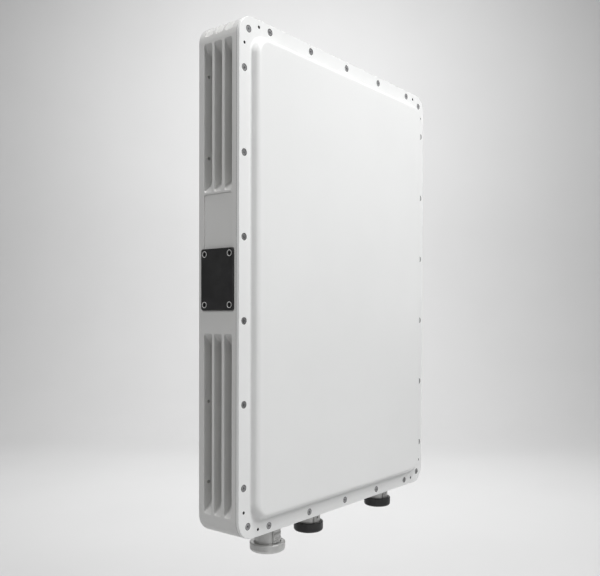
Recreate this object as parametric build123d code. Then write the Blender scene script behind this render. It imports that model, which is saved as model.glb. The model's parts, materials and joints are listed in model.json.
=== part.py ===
from build123d import *
import os

# Flat-panel phased-array antenna unit, in millimetres.
# +Z is up, -Y is the way the radome faces, +X is to the right seen from the front.
# The origin is on the rear face, at the centre of the rear mounting bolts.
# "Depth" below is a distance in front of the rear face, so depth d lies at Y = -d.

# ---- driving dimensions -------------------------------------------------------
WIDTH = 448.0
HEIGHT = 640.0
DEPTH = 71.0                  # rear face to the front of the radome flange
CORNER_R = 24.0
REAR_EDGE_R = 3.5

FLANGE_T = 4.3                # radome flange
RADOME_WALL = 3.0
PAN_RAISE = 10.5              # plateau above the flange
PAN_INSET = 20.6              # sharp foot of the pan, in from the flange edge
PAN_CORNER_R = 23.0
PAN_TAPER = 20.0              # degrees
PAN_EDGE_R = 7.0
PAN_FOOT_R = 3.0

SCREW_INSET = 9.0             # flange screws, in from the edge
SCREW_PITCH_TALL = 102.0
SCREW_PITCH_WIDE = 84.0
CORNER_SCREW_INSET = 16.5
COVER_HOLE_SETBACK = 35.0     # spare tapped holes, from the adjacent edge
SINK_R = 4.6
M4_R = 1.95
M4_HOLE_R = 2.0
M4_CLEAR_R = 2.25
M3_R = 1.47
M3_HOLE_R = 1.5
M3_CLEAR_R = 1.7
TAPPED_TO = 59.6              # depth at which the flange screw holes stop

# Cooling slots, as depth bands shared by both sides and the top.
SLOT_BANDS = ((10.8, 24.5), (28.6, 41.4), (45.9, 58.6))
SLOT_CUT = 20.0               # how far a slot goes into the wall
SIDE_SLOTS = ((-293.5, -67.0), (108.5, 293.0))
TOP_SLOT_HALF = 241.0         # the ends run out through the rounded corners
SLOT_FLOOR_R = 2.5
SLOT_TURN_R = 6.0
SLOT_MOUTH_R = 0.9

# Cavity for the electronics.
CAVITY_W = 400.0
CAVITY_TOP = 296.0
CAVITY_BOTTOM = -302.0
CAVITY_R = 12.0
CAVITY_H = CAVITY_TOP - CAVITY_BOTTOM
CAVITY_Z = (CAVITY_TOP + CAVITY_BOTTOM) / 2
FLOOR_POCKET_W = 372.0        # undercut above the connectors
FLOOR_POCKET_Z = -315.0
FLOOR_POCKET_BACK, FLOOR_POCKET_TO = 12.0, 57.0

# Heat sink: a base plate inside the housing's rear lip, with fins behind it.
FIN_FIELD_W = 372.0
FIN_FIELD_H = 556.0
FIN_FIELD_R = 14.0
FIN_RECESS = 16.0             # depth of the rear lip, where the base plate starts
BASE_T = 4.0
BASE = FIN_RECESS + BASE_T    # depth of the floor that the electronics stand on
BASE_GAP = 0.2                # the base plate is this much smaller all round than its seat
FIN_PITCH = 12.0
FIN_ROOT = 3.6
FIN_TIP = 2.2
FIN_BACK = 1.5                # fin tips stop this far inside the rear face
FIN_END_GAP = 12.0
MOUNT_SPACING = 200.0
MOUNT_BOSS_R = 15.0
MOUNT_CLEAR = 3.0             # fins stop this far short of a mounting boss
INSERT_R = 6.0
MOUNT_THREAD_R = 4.0
INSERT_LENGTH = 14.0
LAND_HOLE_INSET = 8.5         # through holes in the rear land, in from the side
POST_X = 190.0                # threaded posts that hold the base plate and the array
POST_Z = (-270.0, -162.0, -54.0, 54.0, 162.0, 270.0)
POST_THREAD = 9.5             # how far a post is screwed into the housing's rear lip
PEDESTALS = ((-140.0, 215.0), (140.0, 215.0), (-150.0, 50.0), (150.0, 50.0))
PEDESTAL_SIZE = 64.0

# Stack behind the radome, as depths.
JOINT = DEPTH - FLANGE_T
FOAM_W, FOAM_H, FOAM_R = 366.0, 556.0, 12.0
PATCH_SIZE = 28.0
PATCH_COLUMNS, PATCH_ROWS = 8, 12
PATCH_PITCH_X, PATCH_PITCH_Z = 44.0, 45.0
ARRAY_W, ARRAY_H = 368.0, 580.0
CARRIER_W, CARRIER_H = 392.0, 586.0
CARRIER_BACK, CARRIER_FRONT = 65.9, 68.9
ARRAY_FRONT = 70.5
PATCH_FRONT = 71.0
SHIELD_BACK = 59.9
BOARD_T = 1.6
CHIP_T = 1.2
CHIP_SIZE = 14.0
CHIP_PAD_SIZE = 16.0
LAYER_W, LAYER_H = 364.0, 570.0   # beamformer board and heat spreader
SPREADER_BACK, SPREADER_FRONT = 51.8, 55.8
GAP_PAD_T = 0.8
SHIELD_W, SHIELD_H = 366.0, 572.0
CELL_COLUMNS, CELL_ROWS, CELL_WALL = 4, 6, 3.0    # grid of screening cells

# Boards on the floor: centre X, centre Z, width, height.
PROCESSOR = (0.0, 45.0, 190.0, 170.0)
POWER = (-112.0, -185.0, 130.0, 130.0)
CONVERTER = (105.0, -178.0, 130.0, 140.0)
CONVERTER_T, CONVERTER_WALL, CONVERTER_LID_T = 20.0, 4.0, 2.0
CONVERTER_BOARD_UP = 10.0     # above the heat sink
STANDOFF_T = 6.0
BOARD_SCREW_INSET = 6.0
BRIDGE = (0.0, 118.0, 60.0, 8.0)
SHIELD_CAN = (0.0, 15.0, 120.0, 60.0)
SHIELD_CAN_T = 9.0
PROCESSOR_CHIPS = (-34.0, 0.0, 34.0)

# Parts on the boards: centre X and Z, width, height and how far they stand up.
MAGNETICS = ((-146.0, -165.0, 34.0, 30.0, 18.0),
             (-102.0, -165.0, 30.0, 30.0, 16.0),
             (-146.0, -209.0, 22.0, 22.0, 12.0))
CAPACITORS = ((-70.0, -151.0), (-70.0, -165.0), (-70.0, -179.0), (-104.0, -205.0),
              (-90.0, -205.0))
CAPACITOR_R, CAPACITOR_T = 5.0, 16.0
TERMINALS = (-120.0, -235.0, 36.0, 12.0, 12.0)
DATA_HEADER = (-25.0, -31.0, 24.0, 10.0, 9.0)

# Gasket between radome flange and housing.
GASKET_INSET = 13.0
GASKET_W = 3.0
GASKET_R = 23.5
GASKET_DEEP = 2.0

# Service opening in the left wall.
COVER_Y = -35.1
COVER_D, COVER_H, COVER_T = 55.4, 76.3, 3.5
COVER_RECESS = 1.5            # depth of its seat and of the shallow panel above it
PANEL_Z = (30.0, 106.0)
PANEL_EDGE_R = 0.7
COVER_R = 3.0
COVER_SCREWS = (43.0, 63.0)
COVER_HEAD_R, COVER_SINK_R = 4.0, 4.3
PORT_D, PORT_H, PORT_R = 30.0, 50.0, 5.0
SERVICE_Y = -38.5             # small board behind the opening
SERVICE_D, SERVICE_H = 33.0, 54.0
SERVICE_SPACER_T = 2.4
SERVICE_SOCKETS = ((-37.0, 12.0, 16.0, 14.0, 14.0), (-37.0, -12.0, 10.0, 8.0, 10.0))

# Pressure vent and ground stud on the right wall.
VENT_Y, VENT_Z = -35.0, 60.0
VENT_R = 5.9
VENT_CAP_R, VENT_CAP_T = 9.0, 5.0
VENT_IN = 14.0
STUD_Y, STUD_Z = -35.0, -10.0
STUD_R = 3.0
STUD_ROOT_R = 2.5             # where it is screwed in and under the nut
STUD_IN = 12.0
STUD_OUT = 16.0
WASHER_R, WASHER_BORE_R, WASHER_T = 6.2, 3.4, 1.6
GROUND_NUT_FLATS, GROUND_NUT_T = 10.0, 5.0

# Connectors under the unit: centre X, neck, thread through the wall, cap ring.
CONNECTOR_Y = -35.0
LARGE = dict(neck=18.0, thread=14.8, ring=23.9, ring_top=26.3, ring_bottom=38.0,
             edge=4.2, contacts=5, contact_r=1.5, contact_pcd=12.0)
SMALL = dict(neck=16.8, thread=13.8, ring=21.1, ring_top=18.2, ring_bottom=31.6,
             edge=3.4, contacts=8, contact_r=0.9, contact_pcd=14.0)
CONNECTORS = (("left", -129.6, LARGE), ("middle", -40.1, SMALL), ("right", 143.0, SMALL))
SHOULDER_T = 3.0
SHOULDER_OVER = 2.2
SOCKET_WALL = 3.2
INSERT_RECESS = 9.0
LIP_T = 2.4
LIP_REACH = 3.0
DISC_T = 2.6
SEAL_T = 1.6
FREE_GAP = 0.3
NUT_T = 5.0
NUT_R = 3.4                   # how far the nut stands out past the thread
ORING = 1.8
LEAD_BEND = 14.0

os.makedirs("parts", exist_ok=True)

UPRIGHT = (Align.CENTER, Align.CENTER, Align.MIN)
HALF_W, HALF_H = WIDTH / 2, HEIGHT / 2
BOTTOM_WALL = FLOOR_POCKET_Z + HALF_H
BOARD_BACK = BASE + STANDOFF_T
BOARD_FRONT = BOARD_BACK + BOARD_T
CELL_PITCH_X = (SHIELD_W - CELL_WALL) / CELL_COLUMNS
CELL_PITCH_Z = (SHIELD_H - CELL_WALL) / CELL_ROWS


# ---- helpers ------------------------------------------------------------------
def block(width, height, back, front, x=0.0, z=0.0, radius=0.0):
    """A plate or block facing the front, between two depths."""
    outline = RectangleRounded(width, height, radius) if radius else Rectangle(width, height)
    return extrude(Plane.XZ.offset(back) * Pos(x, z) * outline, amount=front - back)


def rod(radius, back, front, x=0.0, z=0.0):
    """A round bar along the depth."""
    return extrude(Plane.XZ.offset(back) * Pos(x, z) * Circle(radius), amount=front - back)


def hex_rod(across_flats, back, front, x=0.0, z=0.0):
    """A hexagonal bar along the depth."""
    outline = RegularPolygon(across_flats / 2, 6, major_radius=False)
    return extrude(Plane.XZ.offset(back) * Pos(x, z) * outline, amount=front - back)


def side_block(depth_size, height, x_near, x_far, y, z, radius):
    """A plate lying against a side wall, between two X values."""
    outline = RectangleRounded(depth_size, height, radius)
    flat = Plane(origin=(x_near, y, z), x_dir=(0, 1, 0), z_dir=(1, 0, 0))
    return extrude(flat * outline, amount=x_far - x_near)


def side_rod(radius, x_near, x_far, y, z):
    """A round bar along X."""
    flat = Plane(origin=(x_near, y, z), x_dir=(0, 1, 0), z_dir=(1, 0, 0))
    return extrude(flat * Circle(radius), amount=x_far - x_near)


def turned(points, x=0.0, y=0.0, z=0.0):
    """A part turned about a vertical axis, from (radius, height) points."""
    profile = Plane.XZ * make_face(Polyline(*points, close=True))
    return Pos(x, y, z) * revolve(profile, Axis.Z)


def tube(outer, inner, low, high):
    """Points of a plain ring for turned()."""
    return [(inner, low), (outer, low), (outer, high), (inner, high)]


def write(name, *solids):
    """Writes one node, made of one solid or several."""
    shape = solids[0] if len(solids) == 1 else Compound(children=list(solids))
    export_step(shape, f"parts/{name}.step")


def mirrored_spots(x, z):
    """The four corners of a rectangle about the centre."""
    return [(sx * x, sz * z) for sx in (-1, 1) for sz in (-1, 1)]


def flange_screw_spots():
    """Two columns of six, two rows of five and one at each corner."""
    spots = []
    for row in (0.5, 1.5, 2.5):
        spots += mirrored_spots(HALF_W - SCREW_INSET, row * SCREW_PITCH_TALL)
    for column in (-2, -1, 0, 1, 2):
        for side in (-1, 1):
            spots.append((column * SCREW_PITCH_WIDE, side * (HALF_H - SCREW_INSET)))
    spots += mirrored_spots(HALF_W - CORNER_SCREW_INSET, HALF_H - CORNER_SCREW_INSET)
    return spots


def cover_hole_spots():
    """Spare tapped holes on both sides of each corner screw."""
    return (mirrored_spots(HALF_W - SCREW_INSET, HALF_H - COVER_HOLE_SETBACK)
            + mirrored_spots(HALF_W - COVER_HOLE_SETBACK, HALF_H - SCREW_INSET))


def land_hole_spots():
    """Through holes in the rear land, level with the outer flange screws."""
    return [spot for row in (1.5, 2.5)
            for spot in mirrored_spots(HALF_W - LAND_HOLE_INSET, row * SCREW_PITCH_TALL)]


MOUNT_SPOTS = mirrored_spots(MOUNT_SPACING / 2, MOUNT_SPACING / 2)
POST_SPOTS = [(side * POST_X, z) for side in (-1, 1) for z in POST_Z]
SPREADER_SPOTS = [(column * CELL_PITCH_X, row * CELL_PITCH_Z)
                  for column in (-1, 0, 1) for row in (-2, -1, 1, 2)]


def centred(count, pitch):
    """Places of a row of equal steps about zero."""
    return [(index - (count - 1) / 2) * pitch for index in range(count)]


def standoff_spots():
    """Corners of the two boards that stand on the heat sink."""
    spots = []
    for x, z, width, height in (PROCESSOR, POWER):
        corners = mirrored_spots(width / 2 - BOARD_SCREW_INSET, height / 2 - BOARD_SCREW_INSET)
        spots += [(x + dx, z + dz) for dx, dz in corners]
    return spots


# ---- radome -------------------------------------------------------------------
def pan(shrink, height):
    """The raised pan of the radome, shrunk all round by its wall for the inside."""
    width = WIDTH - 2 * (PAN_INSET + shrink)
    tall = HEIGHT - 2 * (PAN_INSET + shrink)
    outline = RectangleRounded(width, tall, PAN_CORNER_R - shrink)
    return extrude(Plane.XZ.offset(DEPTH) * outline, amount=height, taper=PAN_TAPER)


def radome_cover():
    flange = block(WIDTH, HEIGHT, JOINT, DEPTH, radius=CORNER_R)
    cover = flange + pan(0, PAN_RAISE)
    top_edges = cover.faces().sort_by(Axis.Y)[0].edges()
    cover = fillet(top_edges, PAN_EDGE_R)
    foot_edges = [edge for edge in cover.edges()
                  if abs(edge.center().Y + DEPTH) < 0.01
                  and abs(edge.center().X) < HALF_W - PAN_INSET + 1
                  and abs(edge.center().Z) < HALF_H - PAN_INSET + 1]
    cover = fillet(foot_edges, PAN_FOOT_R)
    rim = [edge for edge in cover.edges()
           if abs(edge.center().Y + DEPTH) < 0.01
           and (abs(edge.center().X) > HALF_W - 8 or abs(edge.center().Z) > HALF_H - 8)]
    cover = fillet(rim, 0.6)
    inner = pan(RADOME_WALL, PAN_RAISE - RADOME_WALL)
    inner = fillet(inner.faces().sort_by(Axis.Y)[0].edges(), PAN_EDGE_R - RADOME_WALL)
    inner += block(WIDTH - 2 * (PAN_INSET + RADOME_WALL), HEIGHT - 2 * (PAN_INSET + RADOME_WALL),
                   JOINT, DEPTH, radius=PAN_CORNER_R - RADOME_WALL)
    cover -= inner
    for x, z in flange_screw_spots():
        sink = Plane.XZ.offset(DEPTH - SINK_R + M4_CLEAR_R) * Pos(x, z)
        cover -= sink * Cone(M4_CLEAR_R, SINK_R, SINK_R - M4_CLEAR_R, align=UPRIGHT)
        cover -= rod(M4_CLEAR_R, JOINT, DEPTH, x, z)
    for x, z in cover_hole_spots():
        cover -= rod(M4_HOLE_R, JOINT, DEPTH, x, z)
    write("radome_cover", cover)


def radome_gasket():
    grown = GASKET_INSET + GASKET_W
    ring = block(WIDTH - 2 * GASKET_INSET, HEIGHT - 2 * GASKET_INSET, JOINT - GASKET_DEEP, JOINT,
                 radius=GASKET_R)
    ring -= block(WIDTH - 2 * grown, HEIGHT - 2 * grown, JOINT - GASKET_DEEP, JOINT,
                  radius=GASKET_R - GASKET_W)
    return ring


def countersunk_screw(x, z):
    """M4 countersunk screw, its head a little below the flange's front."""
    head_top = DEPTH - 0.25
    head_r = 4.2
    cone_t = head_r - M4_R
    cone_at = Plane.XZ.offset(head_top - cone_t) * Pos(x, z)
    head = cone_at * Cone(M4_R, head_r, cone_t, align=UPRIGHT)
    shank = rod(M4_R, TAPPED_TO + 0.6, head_top - cone_t, x, z)
    socket = hex_rod(2.5, head_top - 1.7, head_top, x, z)
    return head + shank - socket


# ---- housing ------------------------------------------------------------------
def slot_outline(low, high):
    """One slot seen along the depth: wall on +X, floor inside, 45 degree ends."""
    over = 1.0
    outline = make_face(Polyline((HALF_W + over, low - over), (HALF_W + over, high + over),
                                 (HALF_W - SLOT_CUT, high - SLOT_CUT),
                                 (HALF_W - SLOT_CUT, low + SLOT_CUT), close=True))
    turns = [corner for corner in outline.vertices() if corner.X < HALF_W - 1]
    return fillet(turns, SLOT_TURN_R)


def slot_cutter(low, high, back, front):
    cutter = extrude(Plane.XZ.offset(back) * slot_outline(low, high), amount=front - back)
    floor_edges = [edge for edge in cutter.edges()
                   if edge.center().X < HALF_W and abs(edge.tangent_at(0.5).Y) < 0.01]
    return fillet(floor_edges, SLOT_FLOOR_R)


def top_slot_cutter(back, front):
    """A slot along the top: the same shape, turned a quarter turn."""
    lift = Pos(0, 0, HALF_H - HALF_W)
    return lift * Rot(0, -90, 0) * slot_cutter(-TOP_SLOT_HALF, TOP_SLOT_HALF, back, front)


def housing():
    body = block(WIDTH, HEIGHT, 0, JOINT, radius=CORNER_R)
    rear_edges = body.faces().sort_by(Axis.Y)[-1].edges()
    body = fillet(rear_edges, REAR_EDGE_R)
    body = chamfer(body.faces().sort_by(Axis.Y)[0].edges(), 0.8)
    for back, front in SLOT_BANDS:
        for low, high in SIDE_SLOTS:
            cutter = slot_cutter(low, high, back, front)
            body -= cutter
            body -= mirror(cutter, Plane.YZ)
        body -= top_slot_cutter(back, front)
    mouth = [edge for edge in body.edges()
             if abs(abs(edge.center().X) - HALF_W) < 0.01
             and -59.5 < edge.center().Y < -10.0]
    body = fillet(mouth, SLOT_MOUTH_R)

    body -= block(CAVITY_W, CAVITY_H, FIN_RECESS, JOINT, z=CAVITY_Z, radius=CAVITY_R)
    body -= block(FIN_FIELD_W, FIN_FIELD_H, 0, FIN_RECESS, radius=FIN_FIELD_R)
    pocket_top = CAVITY_BOTTOM + 10
    body -= block(FLOOR_POCKET_W, pocket_top - FLOOR_POCKET_Z, FLOOR_POCKET_BACK,
                  FLOOR_POCKET_TO, z=(pocket_top + FLOOR_POCKET_Z) / 2, radius=4)
    for x, z in land_hole_spots():
        body -= rod(M4_CLEAR_R, 0, SLOT_BANDS[0][0] + 1, x, z)
    body -= radome_gasket()

    for x, z in flange_screw_spots():
        body -= rod(M4_HOLE_R, TAPPED_TO, JOINT, x, z)
    for x, z in cover_hole_spots():
        body -= rod(M4_HOLE_R, TAPPED_TO, JOINT, x, z)
    for x, z in POST_SPOTS:
        body -= rod(M4_HOLE_R, FIN_RECESS - POST_THREAD - 0.5, FIN_RECESS, x, z)

    back, front = SLOT_BANDS[0][0], SLOT_BANDS[-1][1]
    low, high = PANEL_Z
    body -= side_block(front - back, high - low, -HALF_W - 1, -HALF_W + COVER_RECESS,
                       -(back + front) / 2, (low + high) / 2, COVER_R)
    panel_edges = [edge for edge in body.edges()
                   if abs(edge.center().X + HALF_W) < 0.01
                   and low - 1 < edge.center().Z < high + 1
                   and -front - 1 < edge.center().Y < -back + 1]
    body = fillet(panel_edges, PANEL_EDGE_R)
    body -= side_block(COVER_D + 0.6, COVER_H + 0.6, -HALF_W - 1, -HALF_W + COVER_RECESS,
                       COVER_Y, 0, COVER_R + 0.3)
    body -= side_block(PORT_D, PORT_H, -HALF_W - 1, -CAVITY_W / 2 + 1, COVER_Y, 0, PORT_R)
    for dy, z in mirrored_spots(COVER_SCREWS[0] / 2, COVER_SCREWS[1] / 2):
        body -= side_rod(M4_HOLE_R, -HALF_W, -HALF_W + 12, COVER_Y + dy, z)
    body -= side_rod(VENT_R, CAVITY_W / 2 - 1, HALF_W + 1, VENT_Y, VENT_Z)
    body -= side_rod(STUD_ROOT_R + 0.05, HALF_W - STUD_IN, HALF_W + 1, STUD_Y, STUD_Z)
    low = -HALF_H - 1
    for _, x, size in CONNECTORS:
        body -= Pos(x, CONNECTOR_Y, low) * Cylinder(size["thread"] + 0.1, BOTTOM_WALL + 2,
                                                    align=UPRIGHT)
    write("housing", body)


# ---- heat sink ----------------------------------------------------------------
def heat_sink_base():
    """Plate that closes the housing, with pedestals in front and mounting bosses behind."""
    plate = block(CAVITY_W - 2 * BASE_GAP, CAVITY_H - 2 * BASE_GAP, FIN_RECESS, BASE, z=CAVITY_Z,
                  radius=CAVITY_R - BASE_GAP)
    for x, z in PEDESTALS:
        plate += block(PEDESTAL_SIZE, PEDESTAL_SIZE, FIN_RECESS + 1, SPREADER_BACK - GAP_PAD_T,
                       x, z, radius=4)
    for x, z in MOUNT_SPOTS:
        plate += rod(MOUNT_BOSS_R, 0, FIN_RECESS + 1, x, z)
        plate -= rod(INSERT_R, 0, INSERT_LENGTH, x, z)
    for x, z in POST_SPOTS:
        plate -= rod(M4_HOLE_R, FIN_RECESS, BASE, x, z)
    for x, z in standoff_spots():
        plate -= rod(M3_HOLE_R, BASE - 3.0, BASE, x, z)
    write("heat_sink_base", plate)


def fin(x, low, high):
    """One upright fin, thicker at its root, where it is brazed to the base plate."""
    root, tip = FIN_ROOT / 2, FIN_TIP / 2
    section = make_face(Polyline((x - root, -FIN_RECESS), (x + root, -FIN_RECESS),
                                 (x + tip, -FIN_BACK), (x - tip, -FIN_BACK), close=True))
    return extrude(Plane.XY.offset(low) * section, amount=high - low)


def rear_fins():
    """The fins, each broken where it would run into a mounting boss."""
    end = FIN_FIELD_H / 2 - FIN_END_GAP
    boss, clear = MOUNT_SPACING / 2, MOUNT_BOSS_R + MOUNT_CLEAR
    broken = ((-end, -boss - clear), (-boss + clear, boss - clear), (boss + clear, end))
    count = 2 * int((FIN_FIELD_W / 2 - 8) // FIN_PITCH) + 1
    fins = []
    for x in centred(count, FIN_PITCH):
        for low, high in broken if abs(abs(x) - boss) < clear else ((-end, end),):
            fins.append(fin(x, low, high))
    write("rear_fins", *fins)


# ---- vent and ground stud on the right wall -----------------------------------
def pressure_vent():
    plug = side_rod(VENT_R - 0.1, HALF_W - VENT_IN, HALF_W, VENT_Y, VENT_Z)
    cap = side_rod(VENT_CAP_R, HALF_W, HALF_W + VENT_CAP_T, VENT_Y, VENT_Z)
    cap = fillet(cap.faces().sort_by(Axis.X)[-1].edges(), 1.6)
    for turn in range(8):
        notch = Pos(HALF_W + 1.6, 0, 0) * Rot(45 * turn, 0, 0) * Pos(0, VENT_CAP_R, 0)
        cap -= Pos(0, VENT_Y, VENT_Z) * notch * Box(1.6, 3.0, 2.2)
    write("pressure_vent", plug + cap)


def ground_stud():
    """Stud with its washer and nut: the free end beyond the nut takes a ring terminal."""
    nut_from = HALF_W + WASHER_T
    free_from = nut_from + GROUND_NUT_T
    stud = side_rod(STUD_R, free_from, HALF_W + STUD_OUT, STUD_Y, STUD_Z)
    stud = chamfer(stud.faces().sort_by(Axis.X)[-1].edges(), 0.7)
    stud += side_rod(STUD_ROOT_R, HALF_W - STUD_IN, free_from, STUD_Y, STUD_Z)
    write("ground_stud", stud)
    washer = side_rod(WASHER_R, HALF_W, nut_from, STUD_Y, STUD_Z)
    washer -= side_rod(WASHER_BORE_R, HALF_W, nut_from, STUD_Y, STUD_Z)
    flat = Plane(origin=(nut_from, STUD_Y, STUD_Z), x_dir=(0, 1, 0), z_dir=(1, 0, 0))
    outline = RegularPolygon(GROUND_NUT_FLATS / 2, 6, major_radius=False)
    nut = extrude(flat * outline, amount=GROUND_NUT_T)
    nut -= side_rod(STUD_ROOT_R + 0.05, nut_from, free_from, STUD_Y, STUD_Z)
    write("ground_washer", washer)
    write("ground_nut", nut)


# ---- array stack --------------------------------------------------------------
def array_stack():
    foam = block(FOAM_W, FOAM_H, PATCH_FRONT, DEPTH + PAN_RAISE - RADOME_WALL, radius=FOAM_R)
    write("foam_spacer", foam)

    patches = [block(PATCH_SIZE, PATCH_SIZE, ARRAY_FRONT, PATCH_FRONT, x, z)
               for x in centred(PATCH_COLUMNS, PATCH_PITCH_X)
               for z in centred(PATCH_ROWS, PATCH_PITCH_Z)]
    write("patch_elements", *patches)
    write("array_board", block(ARRAY_W, ARRAY_H, CARRIER_FRONT, ARRAY_FRONT, radius=6))

    carrier = block(CARRIER_W, CARRIER_H, CARRIER_BACK, CARRIER_FRONT, radius=10)
    for x, z in POST_SPOTS:
        carrier -= rod(M4_CLEAR_R, CARRIER_BACK, CARRIER_FRONT, x, z)
    write("array_carrier", carrier)

    posts, screws = [], []
    for x, z in POST_SPOTS:
        post = hex_rod(7, BASE, CARRIER_BACK, x, z)
        post -= rod(M4_HOLE_R, CARRIER_BACK - 10, CARRIER_BACK, x, z)
        posts.append(post + rod(M4_R, FIN_RECESS - POST_THREAD, BASE, x, z))
        head = rod(3.4, CARRIER_FRONT, CARRIER_FRONT + 2.4, x, z)
        shank = rod(M4_R, CARRIER_BACK - 8, CARRIER_FRONT, x, z)
        screws.append(head + shank - hex_rod(2.5, CARRIER_FRONT + 0.8, CARRIER_FRONT + 2.4, x, z))
    write("carrier_posts", *posts)
    write("carrier_screws", *screws)


def shield_frame():
    """Walls between the array carrier and the beamformer board, one cell per chip group."""
    frame = block(SHIELD_W, SHIELD_H, SHIELD_BACK, CARRIER_BACK, radius=6)
    for x in centred(CELL_COLUMNS, CELL_PITCH_X):
        for z in centred(CELL_ROWS, CELL_PITCH_Z):
            frame -= block(CELL_PITCH_X - CELL_WALL, CELL_PITCH_Z - CELL_WALL, SHIELD_BACK,
                           CARRIER_BACK, x, z, radius=2)
    for x, z in SPREADER_SPOTS:
        frame += rod(4.0, SHIELD_BACK, CARRIER_BACK, x, z)
        frame -= rod(M3_HOLE_R, SHIELD_BACK, CARRIER_BACK - 1, x, z)
    write("shield_frame", frame)


def beamformer_layer():
    board_back = SHIELD_BACK - BOARD_T
    chip_back = board_back - CHIP_T
    board = block(LAYER_W, LAYER_H, board_back, SHIELD_BACK, radius=5)
    spreader = block(LAYER_W, LAYER_H, SPREADER_BACK, SPREADER_FRONT, radius=5)
    spreader -= block(BRIDGE[2] + 4, BRIDGE[3] + 4, SPREADER_BACK, SPREADER_FRONT,
                      BRIDGE[0], BRIDGE[1], radius=2)
    screws, spacers = [], []
    for x, z in SPREADER_SPOTS:
        board -= rod(M3_CLEAR_R, board_back, SHIELD_BACK, x, z)
        spreader -= rod(M3_CLEAR_R, SPREADER_BACK, SPREADER_FRONT, x, z)
        spacer = rod(3.0, SPREADER_FRONT, board_back, x, z)
        screws.append(rod(2.75, SPREADER_BACK - 2, SPREADER_BACK, x, z)
                      + rod(M3_R, SPREADER_BACK, SHIELD_BACK + 4, x, z))
        spacer -= rod(M3_HOLE_R, SPREADER_FRONT, board_back, x, z)
        spacers.append(spacer)
    write("beamformer_board", board)
    write("heat_spreader", spreader)
    write("spreader_screws", *screws)

    chips, pads = [], []
    for x in centred(CELL_COLUMNS, CELL_PITCH_X):
        for z in centred(CELL_ROWS, CELL_PITCH_Z):
            chips.append(block(CHIP_SIZE, CHIP_SIZE, chip_back, board_back, x, z))
            pads.append(block(CHIP_PAD_SIZE, CHIP_PAD_SIZE, SPREADER_FRONT, chip_back, x, z))
    write("beamformer_chips", *chips)
    write("chip_thermal_pads", *pads)
    gap_pads = [block(PEDESTAL_SIZE - 2, PEDESTAL_SIZE - 2, SPREADER_BACK - GAP_PAD_T,
                      SPREADER_BACK, x, z, radius=3) for x, z in PEDESTALS]
    write("pedestal_gap_pads", *gap_pads)
    return spacers


# ---- electronics on the heat sink ---------------------------------------------
def on_board(x, z, width, height, tall, radius):
    """A part standing on the front of a board."""
    return block(width, height, BOARD_FRONT, BOARD_FRONT + tall, x, z, radius=radius)


def floor_boards():
    boards = {}
    for name, (x, z, width, height) in (("processor_board", PROCESSOR), ("power_board", POWER)):
        boards[name] = block(width, height, BOARD_BACK, BOARD_FRONT, x, z, radius=3)
    standoffs, screws = [], []
    for x, z in standoff_spots():
        for name in boards:
            boards[name] -= rod(M3_CLEAR_R, BOARD_BACK, BOARD_FRONT, x, z)
        standoff = hex_rod(5.5, BASE, BOARD_BACK, x, z)
        standoff -= rod(M3_HOLE_R, BOARD_BACK - 4.5, BOARD_BACK, x, z)
        standoffs.append(standoff + rod(M3_R, BASE - 2.8, BASE, x, z))
        screws.append(rod(2.75, BOARD_FRONT, BOARD_FRONT + 2, x, z)
                      + rod(M3_R, BOARD_BACK - 3.5, BOARD_FRONT, x, z))
    for name, board in boards.items():
        write(name, board)
    write("board_screws", *screws)

    x, z, width, height = SHIELD_CAN
    can = block(width, height, BOARD_FRONT, BOARD_FRONT + SHIELD_CAN_T, x, z, radius=2)
    can -= block(width - 3, height - 3, BOARD_FRONT, BOARD_FRONT + SHIELD_CAN_T - 1, x, z,
                 radius=1)
    write("processor_shield_can", can)
    chips = [block(24, 24, BOARD_FRONT, BOARD_FRONT + 2.4, x + dx, z)
             for dx in PROCESSOR_CHIPS]
    write("processor_chips", *chips)

    magnetics = [on_board(*size, radius=3) for size in MAGNETICS]
    write("power_magnetics", *magnetics)
    capacitors = [rod(CAPACITOR_R, BOARD_FRONT, BOARD_FRONT + CAPACITOR_T, x, z)
                  for x, z in CAPACITORS]
    write("power_capacitors", *capacitors)
    bridge = on_board(*BRIDGE, SHIELD_BACK - BOARD_T - BOARD_FRONT, radius=1)
    write("board_headers", on_board(*TERMINALS, radius=1), on_board(*DATA_HEADER, radius=1),
          bridge)
    return standoffs


def converter():
    """Screened frequency converter, bonded flat to the heat sink."""
    x, z, width, height = CONVERTER
    case_front, wall = BASE + CONVERTER_T, CONVERTER_WALL
    case = block(width, height, BASE, case_front, x, z, radius=4)
    case -= block(width - 2 * wall, height - 2 * wall, BASE + wall, case_front, x, z, radius=2)
    lid = block(width, height, case_front, case_front + CONVERTER_LID_T, x, z, radius=4)
    board_back = BASE + CONVERTER_BOARD_UP
    board = block(width - 2 * wall - 2, height - 2 * wall - 2, board_back, board_back + BOARD_T,
                  x, z, radius=2)
    for sx, sz in mirrored_spots(width / 2 - 2 * wall, height / 2 - 2 * wall):
        case += rod(3.0, BASE + wall - 0.5, board_back, x + sx, z + sz)
    write("converter_case", case)
    write("converter_lid", lid)
    write("converter_board", board)


def lead(radius, *points):
    """A round lead along straight runs joined by tangent arcs."""
    route = FilletPolyline(*points, radius=LEAD_BEND)
    return sweep(Plane(origin=route @ 0, z_dir=route % 0) * Circle(radius), route)


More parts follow.
